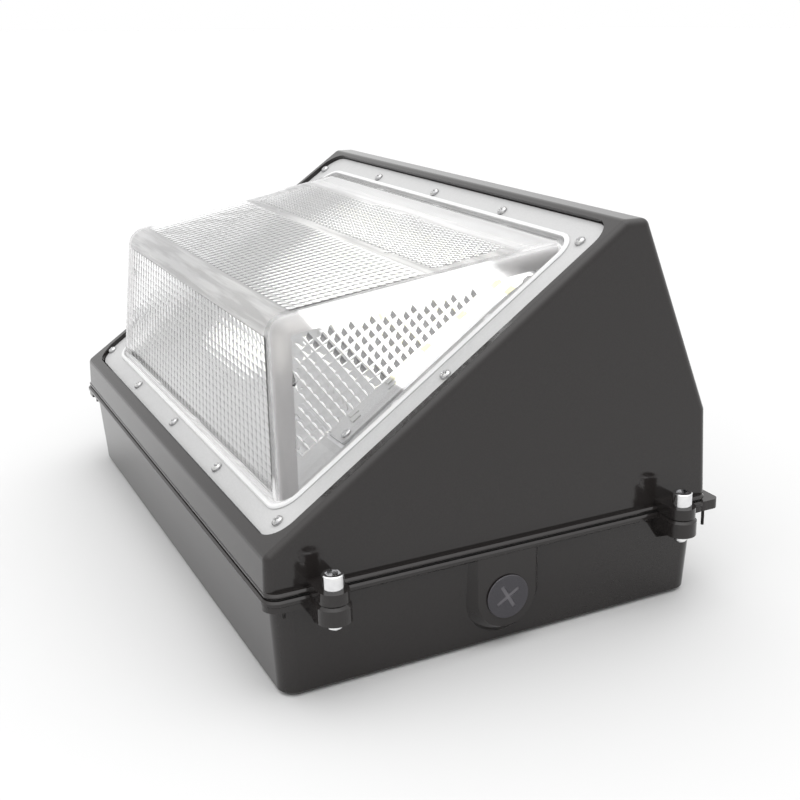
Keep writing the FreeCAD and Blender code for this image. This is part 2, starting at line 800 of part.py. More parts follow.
def lens():
    """Hollow refractor with its flange."""
    half = lens_base_width / 2
    bottom = frame_floor - lens_flange_thickness
    trim = on_slope(plate(-half, half, lens_base_start, lens_base_end, lens_round, bottom, 2 * half))
    inner = on_slope(plate(-opening_half, opening_half, opening_start, opening_end, lens_round - lens_wall,
                           bottom, 2 * half))
    outside = lens_wedge(0).common(trim)
    inside = lens_wedge(lens_wall).common(inner)
    flange = on_slope(lens_flange_plate(0, bottom, frame_floor))
    return fused([outside, flange]).cut(inside)


def lens_seal():
    outer = lens_flange_plate(-lens_fit, lens_seat, lens_seat + lens_seal_thickness)
    inner = lens_flange_plate(-lens_fit - lens_seal_width, lens_seat, lens_seat + lens_seal_thickness)
    return on_slope(outer.cut(inner))


def lens_frame():
    """Flat frame with a raised lip round the lens, screwed into the recess."""
    half = recess_width / 2 - frame_gap
    top = -recess_depth
    sheet = plate(-half, half, recess_start + frame_gap, recess_end - frame_gap, recess_corner - frame_gap,
                  frame_floor, top)
    window = lens_base_width / 2 + lens_fit
    lip_half = window + lip_width
    lip = plate(-lip_half, lip_half, lens_base_start - lens_fit - lip_width,
                lens_base_end + lens_fit + lip_width, lens_round + lip_width, frame_floor, top + lip_height)
    lip = lip.makeChamfer(lip_height / 2, [edge for edge in lip.Edges
                                           if edge.BoundBox.ZMin > top + lip_height - 0.01])
    opening = plate(-window, window, lens_base_start - lens_fit, lens_base_end + lens_fit, lens_round,
                    frame_floor, slope_wall)
    holes = [small_hole(x, t, frame_screw_radius, frame_floor, top) for x, t in frame_screw_places()]
    return on_slope(fused([sheet, lip]).cut([opening] + holes))


def frame_screws():
    screws = [screw(x, t, -recess_depth, frame_screw_radius, frame_screw_length, frame_screw_head_radius,
                    frame_screw_head_height) for x, t in frame_screw_places()]
    return on_slope(Part.makeCompound(screws))


# ---- light engine in the cover ----------------------------------------------------------------
def board_screw_places():
    half_x = board_width / 2 - board_screw_inset
    half_t = board_length / 2 - board_screw_inset
    return [(x, board_middle + t) for x in (-half_x, 0, half_x) for t in (-half_t, half_t)]


def reflector_rivet_places():
    x = board_width / 2 + reflector_margin + board_screw_inset
    return [(side * x, board_middle + end * board_length / 4) for side in (-1, 1) for end in (-1, 1)]


def mounting_plate():
    """Aluminium plate that carries the board and spreads its heat."""
    half = plate_width / 2
    sheet = plate(-half, half, plate_start, plate_end, plate_boss_radius, -engine_depth - plate_thickness,
                  -engine_depth)
    holes = [small_hole(x, t, small_screw_radius, -engine_depth - plate_thickness, -engine_depth)
             for x, t in plate_boss_places() + board_screw_places() + reflector_rivet_places()]
    return on_slope(sheet.cut(holes))


def plate_screws():
    """Screws from behind the plate into the cover's bosses."""
    screws = []
    for x, t in plate_boss_places():
        piece = screw(0, 0, 0, small_screw_radius, small_screw_length, small_screw_head_radius,
                      small_screw_head_height)
        piece.Placement = FreeCAD.Placement(V(x, t, -engine_depth - plate_thickness),
                                            FreeCAD.Rotation(V(1, 0, 0), 180))
        screws.append(on_slope(piece))
    return Part.makeCompound(screws)


def reflector_shell(inset, low):
    """Folded tray as a solid: it flares from its floor to the opening, then stands up inside it."""
    bend = -slope_wall - reflector_gap
    floor_x = board_width / 2 + reflector_margin + 2 * board_screw_inset - inset
    floor_t = board_length / 2 + reflector_margin + board_screw_inset - inset
    edge = reflector_gap + inset
    mouth = (edge - opening_half, opening_half - edge, opening_start + edge, opening_end - edge, lens_round)
    floor = (-floor_x, floor_x, board_middle - floor_t, board_middle + floor_t, board_screw_inset)
    return Part.makeLoft([cut_corner_wire(*floor, low), cut_corner_wire(*mouth, bend),
                          cut_corner_wire(*mouth, -reflector_top)], True, True)


def reflector():
    """White sheet tray: a floor round the board and four sides that reach up into the opening."""
    low = -engine_depth
    tray = reflector_shell(0, low)
    hollow = reflector_shell(reflector_sheet, low + reflector_sheet)
    half_x = board_width / 2 + reflector_margin
    half_t = board_length / 2 + reflector_margin
    window = block(-half_x, half_x, board_middle - half_t, board_middle + half_t, low, 0)
    holes = [small_hole(x, t, small_screw_radius, low, 0) for x, t in reflector_rivet_places()]
    return on_slope(tray.cut([hollow, window] + holes))


def reflector_rivets():
    seat = reflector_sheet - engine_depth
    length = reflector_sheet + plate_thickness
    rivets = [screw(x, t, seat, small_screw_radius, length, small_screw_head_radius,
                    small_screw_head_height / 2) for x, t in reflector_rivet_places()]
    return on_slope(Part.makeCompound(rivets))


def led_board():
    half = board_width / 2
    board = plate(-half, half, board_start, board_end, board_corner, -engine_depth, board_face)
    holes = [small_hole(x, t, small_screw_radius, -engine_depth, board_face) for x, t in board_screw_places()]
    return on_slope(board.cut(holes))


def board_screws():
    length = board_thickness + plate_thickness
    screws = [screw(x, t, board_face, small_screw_radius, length, small_screw_head_radius,
                    small_screw_head_height) for x, t in board_screw_places()]
    return on_slope(Part.makeCompound(screws))


def led_chips():
    chips = []
    for column in range(chip_columns):
        x = (column - (chip_columns - 1) / 2) * chip_pitch_x
        for row in range(chip_rows):
            t = board_middle + (row - (chip_rows - 1) / 2) * chip_pitch_t
            half = chip_size / 2
            chips.append(block(x - half, x + half, t - half, t + half, board_face, board_face + chip_height))
    return on_slope(Part.makeCompound(chips))


# ---- driver and wiring in the box -------------------------------------------------------------
def led_driver():
    """Sealed driver case with a drilled foot at each end."""
    half_x = driver_length / 2
    half_y = driver_width / 2
    case = block(-half_x, half_x, driver_y - half_y, driver_y + half_y, post_top_z,
                 post_top_z + driver_height)
    case = case.makeChamfer(driver_bevel, [edge for edge in case.Edges if edge.BoundBox.ZMin > post_top_z])
    reach = half_x + driver_tab_length
    half_tab = driver_tab_width / 2
    tab_top = post_top_z + driver_tab_thickness
    tab = plate(-reach, reach, driver_y - half_tab, driver_y + half_tab, driver_corner, post_top_z, tab_top)
    holes = [peg(x, y, driver_hole_radius, post_top_z, tab_top) for x, y in driver_post_places()]
    return fused([case, tab]).cut(holes)


def driver_screws():
    seat = post_top_z + driver_tab_thickness
    screws = [screw(x, y, seat, driver_screw_radius, driver_screw_length, driver_screw_head_radius,
                    driver_screw_head_height) for x, y in driver_post_places()]
    return Part.makeCompound(screws)


def terminal_pole_places():
    pitch = terminal_length / terminal_poles
    first = terminal_x - pitch * (terminal_poles - 1) / 2
    return [first + pitch * pole for pole in range(terminal_poles)]


def terminal_block():
    """Three-pole block with a screw well over each pole."""
    half_x = terminal_length / 2
    half_y = terminal_width / 2
    body = plate(terminal_x - half_x, terminal_x + half_x, terminal_y - half_y, terminal_y + half_y,
                 terminal_corner, box_floor, box_floor + terminal_height)
    well_floor = box_floor + terminal_height / 2
    wells = [peg(x, terminal_y, driver_screw_head_radius, well_floor, box_floor + terminal_height)
             for x in terminal_pole_places()]
    return body.cut(wells)


def terminal_screws():
    seat = box_floor + terminal_height / 2
    top = seat + terminal_screw_height
    radius = terminal_screw_radius
    half_slot = terminal_slot_width / 2
    screws = []
    for x in terminal_pole_places():
        slot = block(x - radius, x + radius, terminal_y - half_slot, terminal_y + half_slot,
                     top - terminal_slot_depth, top)
        screws.append(peg(x, terminal_y, radius, seat, top).cut(slot))
    return Part.makeCompound(screws)


def ground_screw():
    return screw(ground_screw_x, ground_screw_y, post_top_z, driver_screw_radius, driver_post_height,
                 driver_screw_head_radius, driver_screw_head_height)


def lead_connector():
    """Two-pole plug where the leads to the cover come apart."""
    left = connector_x - connector_width / 2
    right = connector_x + connector_width / 2
    low = connector_y - connector_length
    top = box_floor + connector_height
    shell = plate(left, right, low, connector_y, connector_corner, box_floor, top)
    latch = block(connector_x - latch_width / 2, connector_x + latch_width / 2, low + latch_front,
                  connector_y - latch_back, top, top + latch_height)
    return fused([shell, latch])


def lead(points):
    """Six-sided insulated wire along flat runs, with each corner cut across."""
    route = [points[0]]
    for before, corner, after in zip(points, points[1:], points[2:]):
        route.append(corner - (corner - before).normalize() * lead_bend)
        route.append(corner + (after - corner).normalize() * lead_bend)
    route.append(points[-1])
    ways = [(end - start).normalize() for start, end in zip(route, route[1:])]
    rings = []
    for index, point in enumerate(route):
        sides = [V(-way.y, way.x, 0) for way in ways[max(index - 1, 0):index + 1]]
        across = sum(sides[1:], sides[0])
        across = across * (lead_radius / across.dot(sides[0]))
        corners = [point + across * math.cos(math.radians(60 * k))
                   + V(0, 0, lead_radius * math.sin(math.radians(60 * k))) for k in range(6)]
        rings.append(Part.makePolygon(corners + corners[:1]))
    return Part.makeLoft(rings, True, True)


def input_leads():
    """Three leads from the driver's end to the terminal block."""
    leads = []
    for index, pole_x in enumerate(terminal_pole_places()):
        y = driver_y + (index - 1) * lead_pitch
        column = driver_length / 2 + driver_tab_length + (index + 1) * lead_pitch
        level = terminal_y + terminal_width / 2 + (terminal_poles + 1 - index) * lead_pitch
        route = ((driver_length / 2, y), (column, y), (column, level), (pole_x, level),
                 (pole_x, terminal_y + terminal_width / 2))
        leads.append(lead([V(x, along, lead_height) for x, along in route]))
    return Part.makeCompound(leads)


def output_leads():
    """Two leads from the driver's other end to the plug beside the hinges."""
    leads = []
    for side in (-1, 1):
        y = driver_y + side * lead_pitch / 2
        column = connector_x - side * lead_pitch / 2
        route = ((-driver_length / 2, y), (column, y), (column, connector_y))
        leads.append(lead([V(x, along, lead_height) for x, along in route]))
    return Part.makeCompound(leads)


# ---- write every piece ----------------------------------------------------------------------------
PIECES = {
    "back_box": back_box,
    "cover_gasket": cover_gasket,
    "corner_pins": corner_pins,
    "hinge_pins": hinge_pins,
    "hinge_clips": hinge_clips,
    "closure_plug_right": lambda: closure_plug(1),
    "closure_plug_left": lambda: closure_plug(-1),
    "plug_washer_right": lambda: plug_washer(1),
    "plug_washer_left": lambda: plug_washer(-1),
    "cap_screw_lower": lambda: cap_screw(-ear_y),
    "cap_screw_upper": lambda: cap_screw(ear_y),
    "cap_washer_lower": lambda: cap_washer(-ear_y),
    "cap_washer_upper": lambda: cap_washer(ear_y),
    "front_cover": front_cover,
    "lens": lens,
    "lens_seal": lens_seal,
    "lens_frame": lens_frame,
    "frame_screws": frame_screws,
    "mounting_plate": mounting_plate,
    "plate_screws": plate_screws,
    "reflector": reflector,
    "reflector_rivets": reflector_rivets,
    "led_board": led_board,
    "board_screws": board_screws,
    "led_chips": led_chips,
    "led_driver": led_driver,
    "driver_screws": driver_screws,
    "terminal_block": terminal_block,
    "terminal_screws": terminal_screws,
    "ground_screw": ground_screw,
    "lead_connector": lead_connector,
    "input_leads": input_leads,
    "output_leads": output_leads,
}


def main():
    os.makedirs("parts", exist_ok=True)
    for name, make in PIECES.items():
        shape = make()
        shape.exportStep("parts/" + name + ".step")
        print(name, len(shape.Solids), "solids", round(shape.Volume / 1000, 2), "cm3", shape.isValid())


main()
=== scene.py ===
import math

import bmesh
import bpy
import numpy as np
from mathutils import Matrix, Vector


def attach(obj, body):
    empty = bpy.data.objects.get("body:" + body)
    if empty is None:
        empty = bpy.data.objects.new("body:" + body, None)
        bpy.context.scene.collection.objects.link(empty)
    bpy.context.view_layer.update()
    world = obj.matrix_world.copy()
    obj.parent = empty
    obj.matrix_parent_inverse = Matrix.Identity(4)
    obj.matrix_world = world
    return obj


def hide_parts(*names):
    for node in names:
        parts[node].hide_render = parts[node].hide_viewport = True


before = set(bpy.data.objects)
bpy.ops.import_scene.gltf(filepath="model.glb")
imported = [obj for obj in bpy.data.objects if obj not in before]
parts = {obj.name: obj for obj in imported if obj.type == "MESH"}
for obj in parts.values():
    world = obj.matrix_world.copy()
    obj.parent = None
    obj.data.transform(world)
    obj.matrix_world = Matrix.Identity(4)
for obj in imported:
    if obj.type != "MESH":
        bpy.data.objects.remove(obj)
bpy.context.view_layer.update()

# Viewpoint: a little above the near corner, lens to the left and the plugged conduit entry to the
# right, at the distance and with the offset of a studio picture of the light lying on its back.
camera_data = bpy.data.cameras.new("studio_camera")
camera_data.sensor_width = 36.0
camera_data.lens = 53.95
camera_data.shift_x = -0.12425
camera_data.shift_y = -0.0135
camera_data.clip_start = 0.02
camera_data.clip_end = 60.0
camera = bpy.data.objects.new("studio_camera", camera_data)
camera.location = (0.61467, -0.25058, 0.28021)
camera.rotation_mode = "QUATERNION"
camera.rotation_quaternion = Vector((-0.8324, 0.4690, -0.2952)).to_track_quat("-Z", "Y")
bpy.context.scene.collection.objects.link(camera)
bpy.context.scene.camera = camera


# Castings: the shallow back box and the wedge-shaped front cover are die-cast aluminium, powder
# coated dark bronze. The coat is glossy, with faint orange peel and the specks of baked powder.
class Finish:
    """A node material: values by the name of the surface shader's socket, and nodes hung in front
    of it. A colour is a socket, three numbers, or one number for a grey."""

    def __init__(self, name, **values):
        self.material = bpy.data.materials.new(name)
        self.material.use_nodes = True
        self.tree = self.material.node_tree
        self.shader = self.tree.nodes["Principled BSDF"]
        for socket, value in values.items():
            self.shader.inputs[socket.replace("_", " ")].default_value = value
        self.place = self.tree.nodes.new("ShaderNodeTexCoord").outputs["Object"]

    @staticmethod
    def rgba(colour):
        """Four numbers for a colour, or its socket as it is."""
        if isinstance(colour, bpy.types.NodeSocket):
            return colour
        return (*np.broadcast_to(colour, 3).tolist(), 1.0)

    def node(self, kind, inputs, **settings):
        """Adds a node, sets its properties and its inputs by name or number, and returns it."""
        made = self.tree.nodes.new(kind)
        for key, value in settings.items():
            setattr(made, key, value)
        for key, value in inputs.items():
            if isinstance(value, bpy.types.NodeSocket):
                self.tree.links.new(value, made.inputs[key])
            else:
                made.inputs[key].default_value = value
        return made

    def result(self, operation, first, second=0.0):
        """Number that one operation gives on two others, each a socket or a value."""
        made = self.node("ShaderNodeMath", {0: first, 1: second}, operation=operation)
        return made.outputs["Value"]

    def noise(self, grain, detail=2.0, stretch=(1, 1, 1)):
        """Noise in grains this many metres across, divided by the stretch along each axis."""
        place = self.node("ShaderNodeMapping", {"Vector": self.place, "Scale": stretch})
        made = self.node("ShaderNodeTexNoise", {"Vector": place.outputs["Vector"],
                                                "Scale": 1 / grain, "Detail": detail})
        return made.outputs["Fac"]

    def between(self, factor, low, high, start=0.35, end=0.65):
        """Colour that runs from low to high as the factor runs from start to end."""
        ramp = self.node("ShaderNodeValToRGB", {"Fac": factor})
        stops = ramp.color_ramp.elements
        stops[0].position, stops[1].position = start, end
        stops[0].color, stops[1].color = self.rgba(low), self.rgba(high)
        return ramp.outputs["Color"]

    def spread(self, factor, low, high):
        """Number that runs from low to high as the factor runs from 0.3 to 0.7."""
        made = self.node("ShaderNodeMapRange", {"Value": factor, "From Min": 0.3, "From Max": 0.7,
                                                "To Min": low, "To Max": high})
        return made.outputs["Result"]

    def along(self, way, start, end, both_ways=False):
        """Runs from 0 at the start to 1 at the end, two distances from the origin along a
        direction, or to both sides of it. The start may be the further one."""
        reach = self.node("ShaderNodeVectorMath", {0: self.place, 1: tuple(way)},
                          operation="DOT_PRODUCT").outputs["Value"]
        if both_ways:
            reach = self.result("ABSOLUTE", reach)
        made = self.node("ShaderNodeMapRange", {"Value": reach, "From Min": start, "From Max": end})
        return made.outputs["Result"]

    def mixed(self, share, first, second):
        """Blend of two colours, all of the second where the share is 1."""
        made = self.node("ShaderNodeMix", {0: share, 6: self.rgba(first), 7: self.rgba(second)},
                         data_type="RGBA")
        return made.outputs[2]

    def feed(self, socket, source):
        """Hangs a node's output in front of one of the shader's sockets."""
        self.tree.links.new(source, self.shader.inputs[socket])

    def paint(self, grain, low, high):
        """Base colour that wanders from low to high in grains this many metres across."""
        self.feed("Base Color", self.between(self.noise(grain), low, high))

    def rough(self, grain, low, high, stretch=(1, 1, 1)):
        """Roughness that wanders from low to high in such grains."""
        self.feed("Roughness", self.spread(self.noise(grain, stretch=stretch), low, high))

    def bumps(self, grain, depth, strength=1.0, detail=2.0):
        """Presses such grains into the surface, depth metres from the lowest to the highest."""
        made = self.node("ShaderNodeBump", {"Height": self.noise(grain, detail), "Distance": depth,
                                            "Strength": strength})
        self.feed("Normal", made.outputs["Normal"])

    def glow(self, share, strength):
        """Painted light: glow that the surface gives off where the share is 1."""
        self.feed("Emission Strength", self.spread(share, 0.0, strength))


def dress(finish, *names):
    """Gives the finish to every material slot of the named nodes."""
    for name in names:
        for place in parts[name].material_slots:
            place.material = finish.material


powder_coat = Finish("bronze_powder_coat", IOR=1.46)
powder_coat.paint(0.0006, (0.0165, 0.0143, 0.0138), (0.0195, 0.0172, 0.0166))
powder_coat.rough(0.02, 0.08, 0.12)
powder_coat.bumps(0.0011, 0.00001, 0.3, detail=1.0)
dress(powder_coat, "back_box", "front_cover")

# Cover gasket and plug washers: black silicone. The gasket is a sponge cord in the groove of the
# box's rim, squeezed between the castings, and each washer seals a plug on its boss.
sponge = Finish("silicone_sponge", Roughness=0.75)
sponge.paint(0.0008, 0.008, 0.02)
sponge.bumps(0.0005, 0.00008)
dress(sponge, "cover_gasket", "plug_washer_right", "plug_washer_left")

# Corner pins, hinge pins and their clips: turned steel, the corner pins blackened. The turning
# leaves marks that run round the hinge pins.
black_steel = Finish("blackened_steel", Metallic=1.0)
black_steel.paint(0.001, 0.02, (0.045, 0.042, 0.04))
black_steel.rough(0.0008, 0.3, 0.45)
dress(black_steel, "corner_pins")

turned_steel = Finish("turned_steel", Metallic=1.0)
turned_steel.paint(0.002, (0.5, 0.5, 0.51), (0.62, 0.62, 0.63))
turned_steel.rough(0.0004, 0.18, 0.34, stretch=(1, 12, 12))
dress(turned_steel, "hinge_pins", "hinge_clips")

# Closure plugs: moulded dark grey plastic discs with a cross for a flat blade, screwed into the
# conduit entries. The floor of the cross is painted paler as a painted highlight, at this distance
# from x = 0.
cross_inner_edge = (0.1804, 0.1805)
cross_outer_edge = (0.1811, 0.18095)
plug_plastic = Finish("plug_plastic", IOR=1.46)
# Painted highlight: the floor of the cross is painted paler than the disc.
cross_painted_highlight = plug_plastic.result(
    "MULTIPLY", plug_plastic.along((1, 0, 0), *cross_inner_edge, both_ways=True),
    plug_plastic.along((1, 0, 0), *cross_outer_edge, both_ways=True))
moulded_grey = plug_plastic.between(plug_plastic.noise(0.0007), (0.034, 0.032, 0.038),
                                    (0.044, 0.042, 0.048))
plug_plastic.feed("Base Color", plug_plastic.mixed(cross_painted_highlight, moulded_grey, (0.12, 0.115, 0.125)))
plug_plastic.rough(0.003, 0.38, 0.5)
plug_plastic.bumps(0.0004, 0.00003, 0.6)
dress(plug_plastic, "closure_plug_right", "closure_plug_left")

# Cap screws and washers: quarter-inch socket head screws, cold headed and bright plated, that hold
# the cover shut. Fine marks run along them.
bright_plate = Finish("bright_plate", Metallic=1.0)
bright_plate.paint(0.004, (0.74, 0.74, 0.75), 0.84)
bright_plate.rough(0.0006, 0.07, 0.16, stretch=(8, 8, 1))
dress(bright_plate, "cap_screw_lower", "cap_screw_upper", "cap_washer_lower", "cap_washer_upper")

# Lens frame: a flat aluminium frame with a raised lip round the lens, painted light grey, with a
# painted highlight that makes the lip lighter. It lies sunk in the cover's slope, and its screws
# clamp the lens.

# The slope rises from its low edge to its high edge, each given as (y, z). Its own directions are
# across, up and off it, and the frame's face lies a little below it.
slope_low = (-0.1139, 0.0677)
slope_high = (0.0639, 0.1935)
slope_tilt = math.atan2(slope_high[1] - slope_low[1], slope_high[0] - slope_low[0])
slope_start = np.array([0.0, *slope_low])
across = np.array([1.0, 0.0, 0.0])
up_slope = np.array([0.0, math.cos(slope_tilt), math.sin(slope_tilt)])
off_slope = np.array([0.0, -math.sin(slope_tilt), math.cos(slope_tilt)])
frame_face = -0.0024
slope_off = slope_start @ off_slope
lip_edge = (slope_off + frame_face + 0.0003, slope_off + frame_face + 0.0006)

grey_paint = Finish("light_grey_paint", IOR=1.45)
# Painted highlight: the lip, raised off the frame's face, is painted lighter than the frame.
lip_painted_highlight = grey_paint.along(off_slope, *lip_edge)
flat_grey = grey_paint.between(grey_paint.noise(0.0009), 0.46, 0.49)
grey_paint.feed("Base Color", grey_paint.mixed(lip_painted_highlight, flat_grey, 0.7))
grey_paint.rough(0.006, 0.34, 0.46)
grey_paint.bumps(0.0009, 0.00002, 0.5)
dress(grey_paint, "lens_frame")

# Lens: an injection-moulded clear refractor, a wedge with round edges, smooth outside. Inside, its
# front and the near part of its top carry rows of flat pads between grooves, the far part of its
# top a fine lattice, and its ends a coarser lattice of blunt pyramids.

# The wedge's corners, as distances (up, off) the slope, are the foot of its front, the brow where
# the top starts, and the tail of the top. Its half width is taken at the frame's face.
lens_wall = 0.003
lens_foot = (0.0186, frame_face)
lens_brow = (0.0698, 0.0599)
lens_tail = (0.2002, frame_face)
lens_half = 0.14925
lens_end_draft = math.radians(15.5)
clear_slot, soft_slot, edge_slot, shaded_cap_slot, lit_slot = range(5)


def on_slope(x, up, off):
    """Place of a point given by x, its distance up the slope and its distance off it."""
    return slope_start + x * across + up * up_slope + off * off_slope


def unit(v):
    """The vector's direction, one metre long."""
    return v / np.linalg.norm(v)


brow_at = on_slope(0, *lens_brow)
front_down = unit(on_slope(0, *lens_foot) - brow_at)
top_back = unit(on_slope(0, *lens_tail) - brow_at)
front_in = unit(np.cross(across, front_down))
top_in = unit(np.cross(top_back, across))
end_in = {side: -math.cos(lens_end_draft) * side * across - math.sin(lens_end_draft) * off_slope
          for side in (1, -1)}


def cell_faces(rim, rims, caps):
    """Joins each cell's four rim points to its four cap points by four sides, and closes the cap.
    The quads are all the caps first, and then one side of every cell after the other."""
    tops = len(rim) + np.arange(len(caps)).reshape(-1, 4)
    sides = [np.stack([rims[:, k], rims[:, (k + 1) % 4], tops[:, (k + 1) % 4], tops[:, k]], -1)
             for k in range(4)]
    return np.vstack([rim, caps]), np.vstack([tops] + sides)


def pad_cells(half_widths, columns, start, end, rows, gap_a, gap_b, height):
    """Pads in rows and columns on a field that runs from start to end along b, while its half width
    along a runs from the first to the second. Each cell's rim lies in the face, and its pad stands
    out by the height, with a gap between it and the rim. Returns points (a, b, out) and quads."""
    share, b = np.meshgrid(np.linspace(-1, 1, columns + 1), np.linspace(start, end, rows + 1),
                           indexing="ij")
    widening = (half_widths[1] - half_widths[0]) * (b - start) / (end - start)
    a = share * (half_widths[0] + widening)
    rim = np.stack([a, b, np.zeros_like(a)], -1).reshape(-1, 3)
    corners = [(a[:-1, :-1] + gap_a, b[:-1, :-1] + gap_b), (a[1:, :-1] - gap_a, b[1:, :-1] + gap_b),
               (a[1:, 1:] - gap_a, b[1:, 1:] - gap_b), (a[:-1, 1:] + gap_a, b[:-1, 1:] - gap_b)]
    pads = np.stack([np.stack(corner, -1) for corner in corners], 2).reshape(-1, 2)
    pads = np.column_stack([pads, np.full(len(pads), height)])
    index = np.arange(len(rim)).reshape(columns + 1, rows + 1)
    rims = np.stack([index[:-1, :-1], index[1:, :-1], index[1:, 1:], index[:-1, 1:]], -1)
    return cell_faces(rim, rims.reshape(-1, 4), pads)


def lattice_cells(inside, side_a, side_b, cap, height, reach=60):
    """Blunt pyramids in a lattice whose cells have the two given sides, up to a reach of cells each
    way, wherever all four corners of a cell pass the inside test. The cap gives its four corners as
    shares of half a cell. Returns points (a, b, out) and quads."""
    steps = np.arange(-reach, reach + 1)
    centre = 2 * np.stack(np.meshgrid(steps, steps, indexing="ij"), -1).reshape(-1, 1, 2)
    corners = centre + np.array([[-1, -1], [1, -1], [1, 1], [-1, 1]])
    half = np.array([side_a, side_b]) / 2
    kept = inside(corners.reshape(-1, 2) @ half).reshape(-1, 4).all(1)
    rim, rims = np.unique(corners[kept].reshape(-1, 2), axis=0, return_inverse=True)
    caps = (centre[kept] + np.array(cap)).reshape(-1, 2) @ half
    rim = np.column_stack([rim @ half, np.zeros(len(rim))])
    return cell_faces(rim, rims.reshape(-1, 4), np.column_stack([caps, np.full(len(caps), height)]))


def joined_cells(first, second):
    """Two sets of cells as one."""
    return np.vstack([first[0], second[0]]), np.vstack([first[1], second[1] + len(first[0])])


def add_surface(shell, points, quads, slots=None):
    """Adds points and quads, as whole arrays, to a bmesh, with a material slot for each quad."""
    surface = bpy.data.meshes.new("surface")
    surface.from_pydata(points.tolist(), [], quads.tolist())
    if slots is not None:
        surface.polygons.foreach_set("material_index", slots)
    shell.from_mesh(surface)
    bpy.data.meshes.remove(surface)


def inlay(shell, cells, origin, along_a, along_b, rise, finishes=None, rim_slot=soft_slot):
    """Swaps the flat inner face of the lens through the origin for the cells, and a flat rim that
    fills the gap round them. The finishes give the slot of each quad from its middle and its number
    among its cell's five, the cap's being 0."""
    flat_within = 3e-5
    flat = [face for face in shell.faces
            if all(abs((np.array(v.co) - origin) @ rise) < flat_within for v in face.verts)]
    bmesh.ops.delete(shell, geom=flat, context="FACES_ONLY")
    bmesh.ops.delete(shell, geom=[e for e in shell.edges if e.is_wire], context="EDGES")
    points, quads = cells
    points = origin + points @ np.array([along_a, along_b, rise])
    slots = np.zeros(len(quads), int)
    if finishes:
        slots = finishes(points[quads].mean(1), np.arange(len(quads)) * 5 // len(quads))
    add_surface(shell, points, quads, slots)
    rim = [e for e in shell.edges if len(e.link_faces) == 1]
    filled = bmesh.ops.triangle_fill(shell, edges=rim, use_beauty=True)
    for face in [f for f in filled["geom"] if isinstance(f, bmesh.types.BMFace)]:
        face.material_index = rim_slot


def refractor():
    """The lens node's own shape, merged, with its four inner faces made prismatic. The flange and
    the roundings inside are soft, those of the ends are edges, and the rest is clear."""
    merge_within, flat_cosine, flange_top, end_start = 2e-6, 0.9995, -0.0005, 0.121
    shell = bmesh.new()
    shell.from_mesh(parts["lens"].data)
    bmesh.ops.remove_doubles(shell, verts=shell.verts, dist=merge_within)
    normals = np.array([face.normal for face in shell.faces])
    middles = np.array([face.calc_center_median() for face in shell.faces])
    flat_ways = np.array([front_in, top_in, end_in[1], end_in[-1], off_slope])
    is_flat = abs(normals @ flat_ways.T).max(1) > flat_cosine
    hollow_middle = on_slope(0, 0.11, 0.02)
    is_outside = ((hollow_middle - middles) * normals).sum(1) <= 0
    is_flange = (middles - slope_start) @ off_slope < flange_top
    is_end = abs(middles[:, 0]) > end_start
    slots = np.select([is_flange, is_flat | is_outside, is_end],
                      [soft_slot, clear_slot, edge_slot], soft_slot)
    for face, slot in zip(shell.faces, slots.tolist()):
        face.material_index = slot

    front_pads = pad_cells(half_widths=(0.1235, 0.137), columns=44, start=0.0095, end=0.0768,
                           rows=18, gap_a=0.0003, gap_b=0.00012, height=0.00016)
    inlay(shell, front_pads, brow_at + lens_wall * front_in, across, front_down, front_in)

    top_pads = pad_cells(half_widths=(0.1235, 0.1302), columns=44, start=0.012, end=0.0765,
                         rows=17, gap_a=0.0005, gap_b=0.00014, height=0.0002)
    far_middle, far_reach, far_half = 0.102, 0.0228, 0.1295

    def in_far_field(places):
        """True in the oblong between the strip at the top's middle and its far end."""
        return (abs(places[:, 0]) < far_half) & (abs(places[:, 1] - far_middle) < far_reach)

    far_lattice = lattice_cells(in_far_field, side_a=(0.0024, 0.0024), side_b=(-0.0024, 0.0024),
                                cap=((-0.4, -0.4), (0.4, -0.4), (0.4, 0.4), (-0.4, 0.4)),
                                height=0.0004)
    inlay(shell, joined_cells(top_pads, far_lattice), brow_at + lens_wall * top_in, across,
          top_back, top_in)

    edge_margin, foot_margin = 0.0085, 0.0035
    shade_lean, shade_start = 0.41, 0.0928
    for side in (1, -1):
        end_face = on_slope(side * lens_half, 0, frame_face) + lens_wall * end_in[side]
        end_off = unit(np.cross(end_in[side], up_slope)) * side

        def in_end(places):
            """True where a place keeps its margin from the front, the top and the foot."""
            spots = end_face + places @ np.array([up_slope, end_off])
            return (((spots - brow_at) @ front_in > edge_margin)
                    & ((spots - brow_at) @ top_in > edge_margin)
                    & ((spots - slope_start) @ off_slope > foot_margin))

        def end_finishes(spots, numbers):
            """Lit on the sides that face down the slope, and painted dark as painted shade on the
            caps above a line that leans down the slope as it goes off it."""
            above = (spots - slope_start) @ (up_slope + shade_lean * off_slope) > shade_start
            return np.select([numbers == 4, (numbers == 0) & above], [lit_slot, shaded_cap_slot],
                             clear_slot)

        end_lattice = lattice_cells(in_end, side_a=(0.00435, 0), side_b=(0, 0.00435),
                                    cap=((-0.6, -0.3), (0.45, -0.85), (0.45, 0.7), (-0.75, 0.7)),
                                    height=0.0006)
        inlay(shell, end_lattice, end_face, up_slope, end_off, end_in[side], end_finishes,
              clear_slot)
    bmesh.ops.recalc_face_normals(shell, faces=shell.faces)
    return shell


def as_object(name, shell, finishes, crease):
    """Object of a bmesh, smooth except at edges sharper than the crease in degrees."""
    mesh = bpy.data.meshes.new(name)
    shell.to_mesh(mesh)
    shell.free()
    mesh.shade_smooth()
    mesh.set_sharp_from_angle(angle=math.radians(crease))
    for finish in finishes:
        mesh.materials.append(finish.material)
    made = bpy.data.objects.new(name, mesh)
    bpy.context.scene.collection.objects.link(made)
    return made
